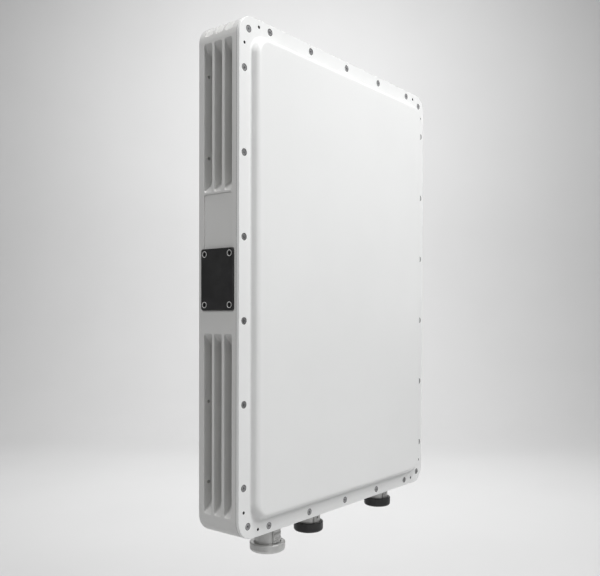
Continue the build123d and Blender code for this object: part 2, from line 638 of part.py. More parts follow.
def leads():
    """Leads from the connectors to the boards."""
    top = -HALF_H + BOTTOM_WALL + NUT_T + 6
    left, middle, right = (x for _, x, _ in CONNECTORS)
    end_x, end_y, end_z = TERMINALS[0], -33.6, TERMINALS[1] - TERMINALS[3] / 2
    write("power_lead", lead(4.0, (left, CONNECTOR_Y, top), (left, CONNECTOR_Y, -274),
                             (end_x, end_y, -262), (end_x, end_y, end_z)))
    end_x, end_y, end_z = DATA_HEADER[0], -32.0, DATA_HEADER[1] - DATA_HEADER[3] / 2
    write("data_lead", lead(3.0, (middle, CONNECTOR_Y, top), (middle, CONNECTOR_Y, -265),
                            (end_x, end_y, -225), (end_x, end_y, end_z)))
    end_x, end_y, end_z = CONVERTER[0] + 20, -32.0, CONVERTER[1] - CONVERTER[3] / 2
    write("signal_lead", lead(3.0, (right, CONNECTOR_Y, top), (right, CONNECTOR_Y, -280),
                              (end_x, end_y, -264), (end_x, end_y, end_z)))


# ---- service opening ----------------------------------------------------------
def service_cover():
    outer = -HALF_W + COVER_RECESS - COVER_T
    seat = -HALF_W + COVER_RECESS
    plate = side_block(COVER_D, COVER_H, outer, seat, COVER_Y, 0, COVER_R)
    plate = fillet(plate.faces().sort_by(Axis.X)[0].edges(), 0.7)
    seal = side_block(PORT_D + 7, PORT_H + 7, seat - 1.0, seat, COVER_Y, 0, PORT_R + 3.5)
    seal -= side_block(PORT_D + 1, PORT_H + 1, seat - 1.0, seat, COVER_Y, 0, PORT_R + 0.5)
    plate -= seal
    screws = []
    for dy, z in mirrored_spots(COVER_SCREWS[0] / 2, COVER_SCREWS[1] / 2):
        y = COVER_Y + dy
        flat = Plane(origin=(outer, y, z), x_dir=(0, 1, 0), z_dir=(1, 0, 0))
        plate -= side_rod(M4_CLEAR_R, outer, seat, y, z)
        plate -= flat * Cone(COVER_SINK_R, M4_CLEAR_R, COVER_SINK_R - M4_CLEAR_R, align=UPRIGHT)
        head = Pos(0.15, 0, 0) * flat * Cone(COVER_HEAD_R, M4_R, COVER_HEAD_R - M4_R,
                                             align=UPRIGHT)
        shank = side_rod(M4_R, outer + COVER_HEAD_R - M4_R, -HALF_W + 11, y, z)
        socket = extrude(flat * RegularPolygon(1.25, 6, major_radius=False), amount=1.3)
        screws.append(head + shank - socket)
    write("service_cover", plate)
    write("service_cover_gasket", seal)
    write("service_cover_screws", *screws)


def service_board():
    """Board behind the opening, its sockets reaching into it, and the board's spacers."""
    wall = -CAVITY_W / 2
    back = wall + SERVICE_SPACER_T
    write("service_board", side_block(SERVICE_D, SERVICE_H, back, back + BOARD_T, SERVICE_Y, 0, 2))
    sockets = [side_block(depth_size, height, wall - reach, back, y, z, 1)
               for y, z, depth_size, height, reach in SERVICE_SOCKETS]
    write("service_sockets", *sockets)
    return [side_rod(2.0, wall, back, SERVICE_Y, side * (SERVICE_H / 2 - 2)) for side in (-1, 1)]


# ---- connectors and their caps ------------------------------------------------
def receptacle(name, x, size):
    """Shell through the bottom wall, with its insulator, contacts, nut and seal."""
    neck, thread = size["neck"], size["thread"]
    end = -(size["ring_bottom"] - LIP_T - DISC_T - SEAL_T)
    bore = neck - SOCKET_WALL
    inside = BOTTOM_WALL + NUT_T + 2
    shell = turned([(thread - 3, inside), (thread - 3, -SHOULDER_T), (bore, -SHOULDER_T),
                    (bore, end), (neck, end), (neck, -SHOULDER_T),
                    (neck + SHOULDER_OVER, -SHOULDER_T), (neck + SHOULDER_OVER, 0),
                    (thread, 0), (thread, inside)], x, CONNECTOR_Y, -HALF_H)
    ring = turned(tube(thread + 1.0 + ORING, thread + 1.0, -ORING + 0.2, 0),
                  x, CONNECTOR_Y, -HALF_H)
    shell -= ring
    write(f"receptacle_{name}", shell)

    face = end + INSERT_RECESS
    insert = turned([(0, inside - 2), (thread - 3, inside - 2), (thread - 3, -SHOULDER_T),
                     (bore, -SHOULDER_T), (bore, face), (0, face)], x, CONNECTOR_Y, -HALF_H)
    contacts = []
    for index in range(size["contacts"]):
        spot = Rot(0, 0, 360 / size["contacts"] * index) * Pos(size["contact_pcd"] / 2, 0, 0)
        at_face = Pos(x, CONNECTOR_Y, -HALF_H + face) * spot
        pin = at_face * Cylinder(size["contact_r"], inside - 2 - face, align=UPRIGHT)
        insert -= pin
        hole = at_face * Cylinder(size["contact_r"] * 0.6, 5, align=UPRIGHT)
        contacts.append(pin - hole)
    flat = Plane.XY.offset(-HALF_H + BOTTOM_WALL) * Pos(x, CONNECTOR_Y)
    nut = extrude(flat * RegularPolygon(thread + NUT_R - 1, 6, major_radius=False), amount=NUT_T)
    nut -= turned(tube(thread + 0.05, 0, BOTTOM_WALL, BOTTOM_WALL + NUT_T),
                  x, CONNECTOR_Y, -HALF_H)
    return {"insert": [insert], "contacts": contacts, "nut": [nut], "oring": [ring]}


def cap(name, x, size):
    """Dust cap: a disc with a seal, drawn on by a coupling ring that turns round it."""
    neck, outer = size["neck"], size["ring"]
    low, high = -size["ring_bottom"], -size["ring_top"]
    bore = neck + FREE_GAP
    coupling = turned([(bore - LIP_REACH, low), (outer, low), (outer, high), (bore, high),
                       (bore, low + LIP_T), (bore - LIP_REACH, low + LIP_T)])
    rim = coupling.edges().filter_by(GeomType.CIRCLE).filter_by(
        lambda edge: abs(edge.radius - outer) < 0.01).sort_by(Axis.Z)
    coupling = fillet(rim[:1], size["edge"])
    rim = coupling.edges().filter_by(GeomType.CIRCLE).filter_by(
        lambda edge: abs(edge.radius - outer) < 0.01).sort_by(Axis.Z)
    coupling = fillet(rim[-1:], 1.2)
    write(f"cap_ring_{name}", Pos(x, CONNECTOR_Y, -HALF_H) * coupling)

    flange = bore - FREE_GAP
    hub = bore - LIP_REACH - FREE_GAP
    shelf = low + LIP_T + 0.05
    disc = turned([(0, low + 0.4), (hub, low + 0.4), (hub, shelf), (flange, shelf),
                   (flange, shelf + DISC_T - 0.05), (0, shelf + DISC_T - 0.05)],
                  x, CONNECTOR_Y, -HALF_H)
    write(f"cap_disc_{name}", disc)
    seal = turned(tube(flange, flange - SOCKET_WALL - 1.5, low + LIP_T + DISC_T,
                       low + LIP_T + DISC_T + SEAL_T), x, CONNECTOR_Y, -HALF_H)
    write(f"cap_seal_{name}", seal)


def main():
    radome_cover()
    write("radome_gasket", radome_gasket())
    write("radome_screws", *[countersunk_screw(x, z) for x, z in flange_screw_spots()])
    housing()
    heat_sink_base()
    rear_fins()
    inserts = [rod(INSERT_R, 0, INSERT_LENGTH, x, z) - rod(MOUNT_THREAD_R, 0, INSERT_LENGTH, x, z)
               for x, z in MOUNT_SPOTS]
    write("rear_mount_inserts", *inserts)
    pressure_vent()
    ground_stud()
    array_stack()
    shield_frame()
    spacers = beamformer_layer() + floor_boards()
    converter()
    leads()
    service_cover()
    spacers += service_board()
    write("board_spacers", *spacers)
    fittings = {"insert": [], "contacts": [], "nut": [], "oring": []}
    for name, x, size in CONNECTORS:
        for kind, solids in receptacle(name, x, size).items():
            fittings[kind] += solids
        cap(name, x, size)
    write("connector_inserts", *fittings["insert"])
    write("connector_contacts", *fittings["contacts"])
    write("connector_nuts", *fittings["nut"])
    write("connector_orings", *fittings["oring"])


main()
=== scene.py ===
import json
import math

import bmesh
import bpy
from mathutils import Matrix, Vector


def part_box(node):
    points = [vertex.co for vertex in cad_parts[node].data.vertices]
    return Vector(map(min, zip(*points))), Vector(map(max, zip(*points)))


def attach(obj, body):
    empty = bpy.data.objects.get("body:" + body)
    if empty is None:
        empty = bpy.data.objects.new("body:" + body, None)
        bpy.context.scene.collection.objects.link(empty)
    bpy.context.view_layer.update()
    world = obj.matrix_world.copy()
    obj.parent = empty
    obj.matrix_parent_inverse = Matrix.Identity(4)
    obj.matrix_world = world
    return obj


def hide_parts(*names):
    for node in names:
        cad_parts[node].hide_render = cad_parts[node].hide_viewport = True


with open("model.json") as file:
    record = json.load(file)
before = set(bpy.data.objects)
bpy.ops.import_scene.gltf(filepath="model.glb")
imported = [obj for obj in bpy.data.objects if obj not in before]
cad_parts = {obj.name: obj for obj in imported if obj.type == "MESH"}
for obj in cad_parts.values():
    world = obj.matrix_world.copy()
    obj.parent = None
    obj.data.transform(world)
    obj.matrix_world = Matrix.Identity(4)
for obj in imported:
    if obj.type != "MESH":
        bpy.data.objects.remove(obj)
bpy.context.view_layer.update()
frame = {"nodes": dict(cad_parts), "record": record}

# The row frame is in metres. Turned pieces are drawn in millimetres and scaled by MM.
MM = 0.001
NODES = frame["nodes"]

# ---- sizes taken from the frame -------------------------------------------------
FLANGE_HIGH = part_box("radome_cover")[1]
HALF_W, HALF_H = FLANGE_HIGH[0], FLANGE_HIGH[2]
WALL_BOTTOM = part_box("housing")[0][2]
FLANGE_FRONT = -0.071             # the raised pan reaches further than the flange's face


# ---- camera, lights and stage ---------------------------------------------------
CAMERA_PLACE = (-0.8617, -0.6723, -0.0460)
CAMERA_YAW, CAMERA_PITCH, CAMERA_ROLL = 51.49, 0.9, 0.169           # degrees
CAMERA_SENSOR, CAMERA_LENS, CAMERA_SHIFT, CAMERA_REACH = 36.0, 43.56, 0.0672, 100.0

CENTRE = (0.0, 0.0, 0.0)
LIGHTS = (
    # name, place, target, size, watts
    ("key_front", (0.20, -1.85, 1.42), CENTRE, (1.0, 0.9), 23.5),
    ("key_high", (-0.12, -1.10, 2.05), CENTRE, (0.9, 0.9), 37.0),
    ("high_left", (-2.2, 0.5, 2.1), CENTRE, (1.4, 1.4), 37.5),
    ("top_rear", (-0.3, 0.4, 2.3), CENTRE, (1.0, 0.8), 12.0),
    ("edge_strip", (-1.45, -1.95, 0.15), CENTRE, (0.3, 1.7), 3.5),
    ("fill_right", (2.6, -1.2, 0.8), CENTRE, (1.4, 1.8), 7.0),
    ("wall_wash", (1.3, 1.0, 2.4), (3.9, 3.1, 0.4), (2.2, 1.2), 150.0),
)
SKY_STRENGTH = 0.03

FLOOR_Z, FLOOR_START = -0.85, -6.0
WALL_AWAY, WALL_HEIGHT, STAGE_HALF_WIDTH = 5.0, 5.0, 9.0
SWEEP_R, SWEEP_STEPS = 1.6, 12
STAGE_AWAY = Vector((0.7824, 0.6226, 0.0))        # the way the camera looks, level
STAGE_ACROSS = Vector((0.6226, -0.7824, 0.0))


def add_object(name, data):
    """Puts a new object into the scene."""
    made = bpy.data.objects.new(name, data)
    bpy.context.scene.collection.objects.link(made)
    return made


def make_camera():
    """The camera stands low, to the left of the front, and looks almost level."""
    yaw, pitch, roll = map(math.radians, (CAMERA_YAW, CAMERA_PITCH, CAMERA_ROLL))
    level = Vector((math.sin(yaw), math.cos(yaw), 0.0))
    side = Vector((math.cos(yaw), -math.sin(yaw), 0.0))
    up = Vector((0.0, 0.0, 1.0))
    forward = level * math.cos(pitch) - up * math.sin(pitch)
    upright = up * math.cos(pitch) + level * math.sin(pitch)
    right = side * math.cos(roll) + upright * math.sin(roll)
    top = upright * math.cos(roll) - side * math.sin(roll)
    turn = Matrix((right, top, -forward)).transposed().to_4x4()
    data = bpy.data.cameras.new("camera")
    data.sensor_width = CAMERA_SENSOR
    data.lens = CAMERA_LENS
    data.shift_y = CAMERA_SHIFT
    data.clip_end = CAMERA_REACH
    camera = add_object("camera", data)
    camera.matrix_world = Matrix.Translation(CAMERA_PLACE) @ turn
    bpy.context.scene.camera = camera


def area_light(name, place, target, size, watts):
    data = bpy.data.lights.new(name, "AREA")
    data.shape = "RECTANGLE"
    data.size, data.size_y = size
    data.energy = watts
    light = add_object(name, data)
    light.location = place
    light.rotation_euler = (Vector(target) - Vector(place)).to_track_quat("-Z", "Y").to_euler()


def make_lights():
    """Soft lights above the front, the left and the top, fills, and one on the wall behind."""
    for row in LIGHTS:
        area_light(*row)
    world = bpy.data.worlds.new("studio")
    world.use_nodes = True
    background = world.node_tree.nodes["Background"]
    background.inputs["Color"].default_value = (1.0, 1.0, 1.0, 1.0)
    background.inputs["Strength"].default_value = SKY_STRENGTH
    bpy.context.scene.world = world
    bpy.context.scene.view_settings.view_transform = "Standard"


def make_stage():
    """A pale floor that curves up into a pale wall far behind."""
    outline = [(FLOOR_START, FLOOR_Z), (WALL_AWAY - SWEEP_R, FLOOR_Z)]
    for step in range(1, SWEEP_STEPS + 1):
        angle = math.radians(90.0 * step / SWEEP_STEPS)
        outline.append((WALL_AWAY - SWEEP_R + SWEEP_R * math.sin(angle),
                        FLOOR_Z + SWEEP_R * (1 - math.cos(angle))))
    outline.append((WALL_AWAY, WALL_HEIGHT))
    verts = []
    for distance, height in outline:
        for side in (-STAGE_HALF_WIDTH, STAGE_HALF_WIDTH):
            spot = STAGE_AWAY * distance + STAGE_ACROSS * side
            verts.append((spot.x, spot.y, height))
    faces = [(2 * i, 2 * i + 1, 2 * i + 3, 2 * i + 2) for i in range(len(outline) - 1)]
    mesh = bpy.data.meshes.new("floor")
    mesh.from_pydata(verts, [], faces)
    for face in mesh.polygons:
        face.use_smooth = True
    floor = add_object("floor", mesh)
    paper = Material("stage_paper", (0.62, 0.62, 0.62), rough=0.85)
    paper.mottle((0.60, 0.60, 0.60), 2.0, 0.5)
    floor.data.materials.append(paper.material)


# ---- materials ------------------------------------------------------------------
EVEN = (1.0, 1.0, 1.0)
TOOL_LINES = (1.0, 1.0, 12.0)     # squeezes noise into fine lines across Z
CLOUD_DETAIL, SPECK_DETAIL = 4.0, 2.0
PATCH_RANGE = (0.35, 0.65)        # the middle of the noise, where patches fade in
ROUGHNESS_RANGE = (0.3, 0.7)
SPECK_EDGE = 0.05                 # how softly a speck begins


class Material:
    """A Principled material built up layer by layer, in the object's own metres."""

    def __init__(self, name, colour, rough, metal=0.0, **sockets):
        self.material = bpy.data.materials.new(name)
        self.material.use_nodes = True
        self.tree = self.material.node_tree
        self.shader = self.tree.nodes["Principled BSDF"]
        self.shader.inputs["Metallic"].default_value = metal
        self.shader.inputs["Roughness"].default_value = rough
        self.shader.inputs["Base Color"].default_value = (*colour, 1.0)
        for socket, value in sockets.items():
            self.shader.inputs[socket.replace("_", " ")].default_value = value
        self.base = colour
        self.colour_out = None
        self.normal_out = None
        self.place = self.add("ShaderNodeTexCoord").outputs["Object"]

    def add(self, kind, **values):
        node = self.tree.nodes.new(kind)
        for key, value in values.items():
            setattr(node, key, value)
        return node

    def link(self, output, socket):
        self.tree.links.new(output, socket)

    def noise(self, scale, detail, stretch=EVEN):
        """Noise with scale features in a metre, stretched along an axis where wanted."""
        mapping = self.add("ShaderNodeMapping")
        mapping.inputs["Scale"].default_value = stretch
        self.link(self.place, mapping.inputs["Vector"])
        noise = self.add("ShaderNodeTexNoise")
        noise.inputs["Scale"].default_value = scale
        noise.inputs["Detail"].default_value = detail
        self.link(mapping.outputs["Vector"], noise.inputs["Vector"])
        return noise.outputs["Fac"]

    def cells(self, scale):
        """Distance to the nearest of scattered points: a pebbled or pitted grain."""
        grain = self.add("ShaderNodeTexVoronoi", feature="SMOOTH_F1")
        grain.inputs["Scale"].default_value = scale
        self.link(self.place, grain.inputs["Vector"])
        return grain.outputs["Distance"]

    def spread(self, factor, low, high, out_low, out_high):
        """Maps a factor's range onto another, clamped."""
        node = self.add("ShaderNodeMapRange")
        node.inputs["From Min"].default_value = low
        node.inputs["From Max"].default_value = high
        node.inputs["To Min"].default_value = out_low
        node.inputs["To Max"].default_value = out_high
        self.link(factor, node.inputs["Value"])
        return node.outputs["Result"]

    def blend_colour(self, factor, colour):
        """Mixes another colour over what is there, by a factor."""
        mix = self.add("ShaderNodeMix", data_type="RGBA")
        self.link(factor, mix.inputs["Factor"])
        if self.colour_out is None:
            mix.inputs["A"].default_value = (*self.base, 1.0)
        else:
            self.link(self.colour_out, mix.inputs["A"])
        mix.inputs["B"].default_value = (*colour, 1.0)
        self.colour_out = mix.outputs["Result"]
        self.link(self.colour_out, self.shader.inputs["Base Color"])

    def mottle(self, colour, scale, amount, stretch=EVEN):
        """Large soft patches of a second colour."""
        cloud = self.noise(scale, CLOUD_DETAIL, stretch)
        self.blend_colour(self.spread(cloud, *PATCH_RANGE, 0.0, amount), colour)

    def specks(self, colour, scale, threshold, amount):
        """Small specks where fine noise rises over a threshold."""
        fine = self.noise(scale, SPECK_DETAIL)
        edge = threshold + SPECK_EDGE
        self.blend_colour(self.spread(fine, threshold, edge, 0.0, amount), colour)

    def vary_roughness(self, scale, low, high, stretch=EVEN):
        """Lets the roughness wander between two values."""
        cloud = self.noise(scale, CLOUD_DETAIL, stretch)
        self.link(self.spread(cloud, *ROUGHNESS_RANGE, low, high),
                  self.shader.inputs["Roughness"])

    def bump(self, height, strength, distance):
        """Adds a bump layer over the ones already there."""
        node = self.add("ShaderNodeBump")
        node.inputs["Strength"].default_value = strength
        node.inputs["Distance"].default_value = distance
        self.link(height, node.inputs["Height"])
        if self.normal_out is not None:
            self.link(self.normal_out, node.inputs["Normal"])
        self.normal_out = node.outputs["Normal"]
        self.link(self.normal_out, self.shader.inputs["Normal"])


def scaled(colour, factor, lift=0.0):
    return tuple(channel * factor + lift for channel in colour)


def radome_white():
    """Satin white moulding: faint orange peel and very fine speckle."""
    m = Material("radome_white", (0.84, 0.845, 0.84), rough=0.36, IOR=1.5,
                 Coat_Weight=0.15, Coat_Roughness=0.25)
    m.mottle((0.80, 0.805, 0.80), 5.0, 0.6)
    m.specks((0.70, 0.70, 0.69), 900.0, 0.66, 0.25)
    m.vary_roughness(9.0, 0.32, 0.42)
    m.bump(m.noise(260.0, 2.0), 0.10, 0.0003)
    m.bump(m.noise(2600.0, 2.0), 0.05, 0.0001)
    return m.material


def housing_paint():
    """Light grey powder coat on cast metal: pebbled grain, soft patches, worn specks."""
    m = Material("housing_paint", (0.70, 0.70, 0.69), rough=0.46, IOR=1.5,
                 Coat_Weight=0.6, Coat_Roughness=0.22)
    m.mottle((0.655, 0.655, 0.645), 6.0, 0.7)
    m.mottle((0.66, 0.655, 0.64), 22.0, 0.35, stretch=(1.0, 1.0, 0.15))
    m.specks((0.52, 0.52, 0.51), 1100.0, 0.67, 0.3)
    m.vary_roughness(14.0, 0.40, 0.54)
    m.bump(m.cells(950.0), 0.14, 0.0003)
    m.bump(m.noise(60.0, 3.0), 0.06, 0.0006)
    return m.material


def brushed_metal(name, colour, rough_low, rough_high):
    """Metal with fine tool lines and slightly stained patches."""
    dark = scaled(colour, 0.82)
    m = Material(name, colour, rough=rough_low, metal=1.0)
    m.mottle(dark, 90.0, 0.6)
    m.mottle(dark, 420.0, 0.4, stretch=TOOL_LINES)
    m.vary_roughness(500.0, rough_low, rough_high, stretch=TOOL_LINES)
    m.bump(m.noise(1500.0, 2.0, TOOL_LINES), 0.12, 0.0001)
    return m.material


def plated_metal(name, colour, metal=0.75):
    """Satin plated metal: grainy, part matt, with a darker stain here and there."""
    m = Material(name, colour, rough=0.42, metal=metal)
    m.mottle(scaled(colour, 0.86), 140.0, 0.6)
    m.specks(scaled(colour, 0.6), 1500.0, 0.64, 0.35)
    m.vary_roughness(300.0, 0.36, 0.5)
    m.bump(m.cells(2200.0), 0.10, 0.0001)
    return m.material


def dark_plastic(name, colour, rough_low, rough_high, grain):
    """Moulded or coated black: fine spark-eroded grain and a slight dusty bloom."""
    m = Material(name, colour, rough=rough_low, IOR=1.5)
    m.mottle(scaled(colour, 1.6, 0.01), 35.0, 0.45)
    m.specks(scaled(colour, 2.4, 0.02), 1300.0, 0.66, 0.35)
    m.vary_roughness(60.0, rough_low, rough_high)
    m.bump(m.cells(grain), 0.18, 0.0002)
    return m.material


def black_rubber():
    """Matt black rubber with a dusty, slightly rough skin."""
    m = Material("black_rubber", (0.022, 0.022, 0.024), rough=0.75)
    m.mottle((0.035, 0.035, 0.037), 120.0, 0.6)
    m.vary_roughness(200.0, 0.65, 0.85)
    m.bump(m.noise(1800.0, 3.0), 0.15, 0.0001)
    return m.material


def circuit_board():
    """Green lacquer over glass weave, with hints of copper under it."""
    weave = (1.0, 1.0, 6.0)
    m = Material("circuit_board", (0.02, 0.13, 0.06), rough=0.35, Coat_Weight=0.3,
                 Coat_Roughness=0.2)
    m.mottle((0.05, 0.22, 0.11), 220.0, 0.6, stretch=weave)
    m.mottle((0.60, 0.45, 0.20), 700.0, 0.12, stretch=(6.0, 1.0, 1.0))
    m.vary_roughness(100.0, 0.3, 0.45)
    m.bump(m.noise(900.0, 2.0, weave), 0.1, 0.0001)
    return m.material


def soft_pad(name, colour, scale):
    """Matt foam or gap filler with open grain."""
    m = Material(name, colour, rough=0.8)
    m.mottle(scaled(colour, 0.85), scale, 0.7)
    m.vary_roughness(scale * 2, 0.7, 0.9)
    m.bump(m.cells(scale * 8), 0.3, 0.0003)
    return m.material


def make_materials():
    """One material for each slot of the record."""
    return {
        "radome_white": radome_white(),
        "housing_paint": housing_paint(),
        "stainless_screws": brushed_metal("stainless_screws", (0.56, 0.56, 0.57), 0.32, 0.46),
        "cover_black": dark_plastic("cover_black", (0.023, 0.023, 0.0235), 0.38, 0.52, 1300.0),
        "black_plastic": dark_plastic("black_plastic", (0.022, 0.022, 0.023), 0.5, 0.62, 1700.0),
        "cap_black": dark_plastic("cap_black", (0.020, 0.020, 0.021), 0.34, 0.46, 1800.0),
        "cap_metal": plated_metal("cap_metal", (0.72, 0.72, 0.71)),
        "connector_metal": plated_metal("connector_metal", (0.68, 0.68, 0.67)),
        "black_rubber": black_rubber(),
        "bare_aluminium": brushed_metal("bare_aluminium", (0.70, 0.70, 0.71), 0.3, 0.5),
        "copper": brushed_metal("copper", (0.80, 0.48, 0.28), 0.25, 0.4),
        "circuit_board": circuit_board(),
        "chip_black": dark_plastic("chip_black", (0.03, 0.03, 0.03), 0.5, 0.6, 1500.0),
        "thermal_pad": soft_pad("thermal_pad", (0.32, 0.42, 0.58), 150.0),
        "white_foam": soft_pad("white_foam", (0.86, 0.86, 0.84), 120.0),
    }


def dress_nodes():
    """Every CAD node takes the material of its slot."""
    for part in frame["record"]["subparts"]:
        node = NODES[part["node"]]
        node.data.materials.clear()
        node.data.materials.append(MATERIALS[part["material_slot"]])


# ---- turned pieces with real surface detail -------------------------------------
SHARP_ANGLE = math.radians(32.0)
ON_WALL = 0.001                   # a point this near a wall's radius lies on the wall


def bridge(made, first, second):
    """Faces between two rows of points, either of which may be a single point."""
    for step in range(max(len(first), len(second))):
        after = step + 1
        if len(first) == 1:
            made.faces.new((first[0], second[after % len(second)], second[step]))
        elif len(second) == 1:
            made.faces.new((first[step], first[after % len(first)], second[0]))
        else:
            after %= len(first)
            made.faces.new((first[step], first[after], second[after], second[step]))


def closed_mesh(name, made):
    """A mesh from bmesh faces, with its normals outwards."""
    bmesh.ops.recalc_face_normals(made, faces=made.faces)
    mesh = bpy.data.meshes.new(name)
    made.to_mesh(mesh)
    made.free()
    return mesh


def turned_mesh(name, profile, sides, shape, place, ring=True):
    """A mesh turned about a local Z axis from (radius, height) points in millimetres.

    shape(angle, radius, height) gives the radius really used, so grooves, threads and
    grips are cut into the surface. A ring closes on itself; otherwise both ends of the
    profile lie on the axis. place puts the local frame into the row frame.
    """
    made = bmesh.new()
    rows = []
    for radius, height in profile:
        if not ring and radius == 0.0:
            rows.append([made.verts.new((0.0, 0.0, height * MM))])
            continue
        row = []
        for step in range(sides):
            angle = 2 * math.pi * step / sides
            used = shape(angle, radius, height) * MM
            row.append(made.verts.new((used * math.cos(angle), used * math.sin(angle),
                                       height * MM)))
        rows.append(row)
    for first, second in zip(rows, rows[1:]):
        bridge(made, first, second)
    if ring:
        bridge(made, rows[-1], rows[0])
    mesh = closed_mesh(name, made)
    mesh.transform(place)
    return mesh


def shown(name, meshes, slot, body, *nodes, finish=None):
    """Joins meshes into one piece with its material, its body and the nodes it stands for."""
    made = bmesh.new()
    for mesh in meshes:
        made.from_mesh(mesh)
    joined = bpy.data.meshes.new(name)
    made.to_mesh(joined)
    made.free()
    for face in joined.polygons:
        face.use_smooth = True
    joined.set_sharp_from_angle(angle=SHARP_ANGLE)
    joined.materials.append(finish or MATERIALS[slot])
    piece = add_object(name, joined)
    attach(piece, body)
    if nodes:
        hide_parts(*nodes)


def plain(angle, radius, height):
    """Leaves a turned surface round."""
    return radius


def rounded(points, steps=6):
    """Profile points with rounded corners: each point is (radius, height, corner radius)."""
    out = []
    for index, (r, z, corner) in enumerate(points):
        if corner == 0.0:
            out.append((r, z))
            continue
        here = Vector((r, z))
        before = (Vector(points[index - 1][:2]) - here).normalized()
        after = (Vector(points[(index + 1) % len(points)][:2]) - here).normalized()
        half = before.angle(after) / 2
        reach = corner / math.tan(half)
        start, end, pull = here + before * reach, here + after * reach, math.sin(half)
        for step in range(steps + 1):
            t = step / steps
            a, b, c = (1 - t) ** 2, 2 * t * (1 - t) * pull, t ** 2
            spot = (start * a + here * b + end * c) / (a + b + c)
            out.append((spot.x, spot.y))
    return out


def divided(points, longest):
    """The same closed profile with long runs cut into steps no longer than that."""
    out = []
    for index, (r, z) in enumerate(points):
        nr, nz = points[(index + 1) % len(points)]
        steps = max(1, math.ceil(math.hypot(nr - r, nz - z) / longest))
        out += [(r + (nr - r) * k / steps, z + (nz - z) * k / steps) for k in range(steps)]
    return out


def smooth_step(value, low, high):
    """Rises from 0 to 1 between two values, level at both ends."""
    t = min(1.0, max(0.0, (value - low) / (high - low)))
    return t * t * (3 - 2 * t)


def centre_of(node):
    """Middle of a node's box in X and Y."""
    low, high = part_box(node)
    return (low[0] + high[0]) / 2, (low[1] + high[1]) / 2


def heights_of(node):
    """Low and high end of a node, in millimetres from the housing's underside."""
    low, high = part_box(node)
    return (low[2] - WALL_BOTTOM) / MM, (high[2] - WALL_BOTTOM) / MM


def radius_of(node):
    """Radius of an upright round node, in millimetres."""
    low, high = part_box(node)
    return (high[0] - low[0]) / 2 / MM


# ---- connectors, in millimetres and heights from the housing's underside --------
SHOULDER = 3.0
SOCKET_WALL, BARREL_WALL = 3.2, 3.0
BARREL = {"left": 14.8, "middle": 13.8, "right": 13.8}
NECK_SIDES, NECK_STEP = 360, 0.5
NECK_PLAIN_TOP, NECK_PLAIN_END = 0.9, 0.8         # no cuts this near the shoulder and the rim

KEYWAY_AT = math.radians(243.5)
KEYWAY_DEPTH, KEYWAY_FLOOR, KEYWAY_MOUTH = 1.5, 0.55, 0.9           # half widths

THREAD_SECTORS = ((249.0, 330.0), (69.0, 150.0))  # degrees
THREAD_SECTOR_FADE = 4.0                          # degrees
THREAD_PITCH, THREAD_DEPTH, THREAD_START = 7.2, 1.4, 0.056
THREAD_FLOOR, THREAD_MOUTH = 0.10, 0.26           # half widths, in pitches
THREAD_RIM_FADE, THREAD_SHOULDER_FADE = (1.2, 3.2), (1.6, 3.2)

DIMPLE_AT = math.radians(269.0)
DIMPLE_DROP, DIMPLE_R, DIMPLE_DEPTH, DIMPLE_SLOPE = 11.0, 1.9, 1.8, 0.6

CAP_GAP = 0.3                     # between an end disc and its coupling ring
LIP_T, LIP_REACH, SHELF_GAP = 2.4, 3.0, 0.05
RING_TOP_EDGE, RING_STEP = 1.2, 0.3
GRIP_FADE = (0.3, 1.0)
LINE_FLOOR, LINE_MOUTH = 0.15, 0.45               # half widths of a turned line
DISC_SIDES, FACE_RECESS, BOSS_RECESS = 96, 0.6, 0.7


def angle_between(angle, other):
    return abs((angle - other + math.pi) % (2 * math.pi) - math.pi)


def keyway_cut(angle, neck):
    """Depth of the two upright keyways."""
    cut = 0.0
    for keyway in (KEYWAY_AT, KEYWAY_AT + math.pi):
        off = angle_between(angle, keyway) * neck
        cut = max(cut, KEYWAY_DEPTH * (1 - smooth_step(off, KEYWAY_FLOOR, KEYWAY_MOUTH)))
    return cut


def thread_cut(angle, height, end):
    """Depth of the coarse thread, which fades at each sector's edges and at both ends."""
    rim_low, rim_high = THREAD_RIM_FADE
    top_low, top_high = THREAD_SHOULDER_FADE
    ends = smooth_step(height, end + rim_low, end + rim_high) * (
        1 - smooth_step(height, -SHOULDER - top_high, -SHOULDER - top_low))
    degrees = math.degrees(angle)
    cut = 0.0
    for low, high in THREAD_SECTORS:
        if low <= degrees <= high:
            inside = smooth_step(min(degrees - low, high - degrees), 0.0, THREAD_SECTOR_FADE)
            wave = (height / THREAD_PITCH - angle / (2 * math.pi) - THREAD_START) % 1.0
            groove = 1 - smooth_step(abs(wave - 0.5), THREAD_FLOOR, THREAD_MOUTH)
            cut = max(cut, THREAD_DEPTH * groove * inside * ends)
    return cut


def dimple_cut(angle, height, neck):
    """Depth of the two round dimples."""
    cut = 0.0
    for dimple in (DIMPLE_AT, DIMPLE_AT + math.pi):
        away = math.hypot(angle_between(angle, dimple) * neck, height + DIMPLE_DROP)
        cut = max(cut, DIMPLE_DEPTH * (1 - smooth_step(away, DIMPLE_R - DIMPLE_SLOPE, DIMPLE_R)))
    return cut


def neck_radius(neck, end, coarse):
    """Radius of the neck: two keyways, and sectors of coarse thread or dimples."""
    def shape(angle, radius, height):
        beside = height > -SHOULDER - NECK_PLAIN_TOP or height < end + NECK_PLAIN_END
        if abs(radius - neck) > ON_WALL or beside:
            return radius
        detail = thread_cut(angle, height, end) if coarse else dimple_cut(angle, height, neck)
        return radius - max(keyway_cut(angle, neck), detail)
    return shape


